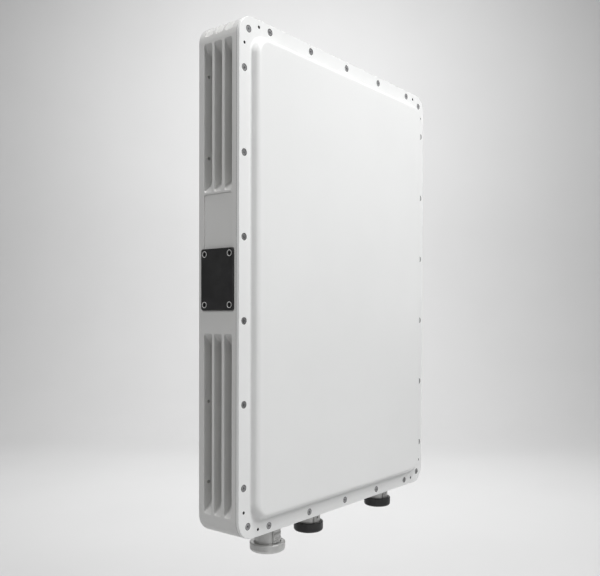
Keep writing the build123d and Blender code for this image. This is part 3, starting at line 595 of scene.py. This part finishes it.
def receptacle(side):
    """Connector shell: shoulder against the housing, keyed neck and open socket."""
    node = f"receptacle_{side}"
    end, inside = heights_of(node)
    neck, shoulder, barrel = radius_of(f"cap_seal_{side}"), radius_of(node), BARREL[side]
    bore, barrel_bore = neck - SOCKET_WALL, barrel - BARREL_WALL
    profile = rounded([
        (barrel_bore, inside, 0.0), (barrel_bore, -SHOULDER, 0.0), (bore, -SHOULDER, 0.0),
        (bore, end, 0.5), (neck, end, 0.7), (neck, -SHOULDER, 0.8),
        (shoulder, -SHOULDER, 0.9), (shoulder, 0.0, 0.3), (barrel, 0.0, 0.0),
        (barrel, inside, 0.8)])
    mesh = turned_mesh(node + "_shell", divided(profile, NECK_STEP), NECK_SIDES,
                       neck_radius(neck, end, side == "left"),
                       Matrix.Translation((*centre_of(node), WALL_BOTTOM)))
    shown(node + "_shell", [mesh], "connector_metal", "unit", node)


def grip(outer, low, high, ribs, rib_depth, lines, line_depth):
    """Radius of a coupling ring with a light knurl and turned lines round its middle band."""
    near, far = GRIP_FADE

    def shape(angle, radius, height):
        if abs(radius - outer) > ON_WALL:
            return radius
        band = smooth_step(height, low + near, low + far) * (
            1 - smooth_step(height, high - far, high - near))
        cut = rib_depth * band * (0.5 - 0.5 * math.cos(angle * ribs)) ** 3
        for line in lines:
            across = smooth_step(abs(height - line), LINE_FLOOR, LINE_MOUTH)
            cut = max(cut, line_depth * (1 - across))
        return radius - cut
    return shape


def cap(side, slot, edge, ribs, rib_depth, lines=(), line_depth=0.0):
    """Coupling ring with its grip, and the disc that it carries."""
    ring_node, disc_node = f"cap_ring_{side}", f"cap_disc_{side}"
    place = Matrix.Translation((*centre_of(ring_node), WALL_BOTTOM))
    outer, flange = radius_of(ring_node), radius_of(disc_node)
    low, high = heights_of(ring_node)
    bore = flange + CAP_GAP
    lip, lip_top = bore - LIP_REACH, low + LIP_T
    profile = rounded([
        (lip, low, 0.5), (outer, low, edge), (outer, high, RING_TOP_EDGE), (bore, high, 0.5),
        (bore, lip_top, 0.0), (lip, lip_top, 0.0)])
    grooves = [low + above for above in lines]
    mesh = turned_mesh(ring_node, divided(profile, RING_STEP), 6 * ribs,
                       grip(outer, low + edge, high - RING_TOP_EDGE, ribs, rib_depth,
                            grooves, line_depth), place)
    shown(f"coupling_ring_{side}", [mesh], slot, f"ring_{side}", ring_node)

    hub = lip - CAP_GAP
    face, top = heights_of(disc_node)
    shelf, sunk = lip_top + SHELF_GAP, face + FACE_RECESS
    profile = rounded([
        (0.0, face + BOSS_RECESS, 0.0), (4.2, face + BOSS_RECESS, 0.3), (4.6, face, 0.15),
        (6.4, face, 0.15), (6.8, sunk, 0.2), (hub - 3.6, sunk, 0.2), (hub - 3.2, face, 0.15),
        (hub, face, 0.4), (hub, shelf, 0.0), (flange, shelf, 0.0), (flange, top, 0.3),
        (0.0, top, 0.0)])
    mesh = turned_mesh(disc_node, profile, DISC_SIDES, plain, place, ring=False)
    shown(f"end_disc_{side}", [mesh], slot, f"cap_{side}", disc_node)


def make_connectors():
    for side in ("left", "middle", "right"):
        receptacle(side)
    cap("left", "cap_metal", edge=4.2, ribs=96, rib_depth=0.06, lines=(5.6, 9.4),
        line_depth=0.16)
    cap("middle", "cap_black", edge=3.4, ribs=80, rib_depth=0.12)
    cap("right", "cap_black", edge=3.4, ribs=80, rib_depth=0.12)


# ---- threads, painted-shade rings and bead, small screws, in millimetres --------
STUD_ROOT, STUD_CHAMFER, STUD_SIDES = 2.5, 0.7, 48
INSERT_OUTER, INSERT_BORE, INSERT_SIDES, INSERT_STEP = 6.0, 4.0, 64, 0.2
FINE_STEP = 0.12                  # steps of a profile that carries a fine thread

SPARE_IN, SPARE_ALONG = 0.009, 0.035              # metres from the flange's edges
SLEEVE_BORE, SLEEVE_OUTER, SLEEVE_LENGTH, SLEEVE_SIDES = 1.62, 1.97, 9.0, 32
SLEEVE_BACK = 9.3                 # depth of a sleeve's rear end behind the flange's face

SCREW_REACH = 0.012               # metres; wider than a flange screw, closer than the next
# Dark rings painted as the shadow line round each flange screw head's rim
SHADE_RING_SIDES, SHADE_RING_BACK = 48, 0.245
SHADE_RING_SECTION = ((3.72, 0.0, 0.0), (4.32, 0.0, 0.0), (4.46, 0.17, 0.05), (3.86, 0.17, 0.05))

# The seam bead is dark colour that paints the shade in the joint between flange and housing
BEAD_SECTION = ((0.72, 0.02), (0.22, 0.02), (0.16, 0.30), (0.20, 0.56))
BEAD_CORNER_R, BEAD_STEPS = 24.0, 12

COVER_HEAD_R, COVER_SHANK_R, COVER_SIDES, COVER_STEPS = 4.0, 1.95, 48, 3
RIM_T = 0.13
SOCKET_APOTHEM, SOCKET_MOUTH_R, SOCKET_CHAMFER, SOCKET_DEPTH = 1.25, 1.5, 0.3, 1.6


def fine_thread(nominal, pitch, depth):
    """Radius of a wall with a V thread cut into it, outwards where depth is negative."""
    def shape(angle, radius, height):
        if abs(radius - nominal) > ON_WALL:
            return radius
        wave = (height / pitch - angle / (2 * math.pi)) % 1.0
        return radius - depth * (1 - abs(2 * wave - 1))
    return shape


def towards_front(x, y, z):
    """Puts a turned piece's axis along -Y, starting at a point."""
    return Matrix.Translation((x, y, z)) @ Matrix.Rotation(math.radians(90.0), 4, "X")


def ground_stud():
    """Stud with a real thread on its free end."""
    low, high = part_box("ground_stud")
    radius, length = (high[1] - low[1]) / 2 / MM, (high[0] - low[0]) / MM
    free = (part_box("ground_nut")[1][0] - low[0]) / MM
    tip = (radius - STUD_CHAMFER, length)
    profile = [(0.0, 0.0)] + divided(
        [(STUD_ROOT, 0.0), (STUD_ROOT, free), (radius, free),
         (radius, length - STUD_CHAMFER), tip], FINE_STEP)
    profile = profile[:profile.index(tip) + 1] + [(0.0, length)]
    place = (Matrix.Translation((low[0], (low[1] + high[1]) / 2, (low[2] + high[2]) / 2))
             @ Matrix.Rotation(math.radians(90.0), 4, "Y"))
    mesh = turned_mesh("threaded_stud", profile, STUD_SIDES,
                       fine_thread(radius, pitch=1.0, depth=0.45), place, ring=False)
    shown("threaded_stud", [mesh], "stainless_screws", "unit", "ground_stud")


def rear_inserts():
    """Four thread inserts, their mouths flush with the bosses."""
    low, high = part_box("rear_mount_inserts")
    length, reach = (high[1] - low[1]) / MM, INSERT_OUTER * MM
    profile = divided(rounded([
        (INSERT_BORE, 0.0, 0.6), (INSERT_OUTER, 0.0, 0.2), (INSERT_OUTER, length, 0.0),
        (INSERT_BORE, length, 0.0)]), INSERT_STEP)
    thread = fine_thread(INSERT_BORE, pitch=1.25, depth=-0.55)
    meshes = [turned_mesh("thread_insert", profile, INSERT_SIDES, thread,
                          towards_front(x, high[1], z))
              for x in (low[0] + reach, high[0] - reach)
              for z in (low[2] + reach, high[2] - reach)]
    shown("thread_inserts", meshes, "stainless_screws", "unit", "rear_mount_inserts")


def front_thread_sleeves():
    """Black threaded sleeves just inside the eight spare holes at the corners; their black is
    partly the sleeves' own colour and partly painted shade inside the holes.
    """
    profile = divided([(SLEEVE_BORE, 0.0), (SLEEVE_OUTER, 0.0), (SLEEVE_OUTER, SLEEVE_LENGTH),
                       (SLEEVE_BORE, SLEEVE_LENGTH)], FINE_STEP)
    thread = fine_thread(SLEEVE_BORE, pitch=0.7, depth=-0.3)
    spots = [(side * (HALF_W - inset), rise * (HALF_H - drop))
             for inset, drop in ((SPARE_IN, SPARE_ALONG), (SPARE_ALONG, SPARE_IN))
             for side in (-1, 1) for rise in (-1, 1)]
    meshes = [turned_mesh("sleeve", profile, SLEEVE_SIDES, thread,
                          towards_front(x, FLANGE_FRONT + SLEEVE_BACK * MM, z))
              for x, z in spots]
    # The sleeves' black also paints the shade inside the holes
    shown("corner_thread_sleeves", meshes, "black_plastic", "unit")


def screw_spots():
    """Centres of the flange screws, from the separate screws in the node's mesh."""
    found = []
    for vertex in NODES["radome_screws"].data.vertices:
        x, z = vertex.co.x, vertex.co.z
        for near in found:
            if abs(near[0][0] - x) < SCREW_REACH and abs(near[0][1] - z) < SCREW_REACH:
                near.append((x, z))
                break
        else:
            found.append([(x, z)])
    return [[(min(axis) + max(axis)) / 2 for axis in zip(*near)] for near in found]


def screw_rim_shade():
    """Thin dark rings at the rims of the flange screw heads: painted shade for the shadow line
    round each head.
    """
    profile = rounded(SHADE_RING_SECTION, 3)
    meshes = [turned_mesh("seal", profile, SHADE_RING_SIDES, plain,
                          towards_front(x, FLANGE_FRONT + SHADE_RING_BACK * MM, z))
              for x, z in screw_spots()]
    shown("screw_rim_shade_rings", meshes, "black_rubber", "unit")


def seam_shade_bead():
    """Dark bead in the chamfer where the radome flange meets the housing: painted shade for the
    shadow in the seam.
    """
    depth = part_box("housing")[0][1] / MM
    made = bmesh.new()
    rings = []
    for inset, behind in BEAD_SECTION:
        ring, reach = [], BEAD_CORNER_R - inset
        for turn in range(4 * (BEAD_STEPS + 1)):
            quarter, step = divmod(turn, BEAD_STEPS + 1)
            angle = math.radians(90.0 * (quarter + step / BEAD_STEPS))
            side, rise = ((1, 1), (-1, 1), (-1, -1), (1, -1))[quarter]
            ring.append(made.verts.new((
                side * (HALF_W - BEAD_CORNER_R * MM) + reach * math.cos(angle) * MM,
                (depth + behind) * MM,
                rise * (HALF_H - BEAD_CORNER_R * MM) + reach * math.sin(angle) * MM)))
        rings.append(ring)
    for first, second in zip(rings, rings[1:] + rings[:1]):
        bridge(made, first, second)
    shown("seam_shade_bead", [closed_mesh("seam_shade_bead", made)], "black_rubber", "unit")


def hex_socket(apothem):
    """Turns the wall of that nominal radius into a hexagon."""
    def shape(angle, radius, height):
        if abs(radius - apothem) > ON_WALL:
            return radius
        return apothem / math.cos((angle + math.pi / 6) % (math.pi / 3) - math.pi / 6)
    return shape


def cover_screws():
    """Dark countersunk screws, each with a bright turned ring round its head that paints the
    rim's highlight.
    """
    low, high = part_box("service_cover_screws")
    length, reach = (high[0] - low[0]) / MM, COVER_HEAD_R * MM
    face = length - RIM_T
    floor = face - SOCKET_DEPTH
    body = rounded([
        (0.0, 0.0, 0.0), (COVER_SHANK_R, 0.0, 0.4),
        (COVER_SHANK_R, length + COVER_SHANK_R - COVER_HEAD_R, 0.0),
        (COVER_HEAD_R - RIM_T, face, 0.0), (SOCKET_MOUTH_R, face, 0.1),
        (SOCKET_APOTHEM, face - SOCKET_CHAMFER, 0.0), (SOCKET_APOTHEM, floor, 0.0),
        (0.0, floor, 0.0)], COVER_STEPS)
    rim = rounded([(3.15, 0.0, 0.0), (3.85, 0.0, 0.0), (3.92, RIM_T, 0.04),
                   (3.2, RIM_T, 0.06)], COVER_STEPS)
    turn = Matrix.Rotation(math.radians(-90.0), 4, "Y")
    places = [Matrix.Translation((high[0], y, z)) @ turn
              for y in (low[1] + reach, high[1] - reach)
              for z in (low[2] + reach, high[2] - reach)]
    up = Matrix.Translation((0.0, 0.0, face * MM))
    bodies = [turned_mesh("screw", body, COVER_SIDES, hex_socket(SOCKET_APOTHEM), place,
                          ring=False) for place in places]
    rims = [turned_mesh("rim", rim, COVER_SIDES, plain, place @ up) for place in places]
    shown("cover_screw_bodies", bodies, "stainless_screws", "unit", "service_cover_screws",
          finish=brushed_metal("shaded_steel", (0.10, 0.10, 0.10), 0.35, 0.5))
    # Near-white rings: painted highlight round each dark screw head
    shown("cover_screw_highlight_rims", rims, "stainless_screws", "unit",
          finish=plated_metal("painted_highlight_rim", (0.90, 0.90, 0.89), metal=0.15))


make_stage()
make_camera()
make_lights()
MATERIALS = make_materials()
dress_nodes()
make_connectors()
ground_stud()
rear_inserts()
front_thread_sleeves()
screw_rim_shade()
seam_shade_bead()
cover_screws()
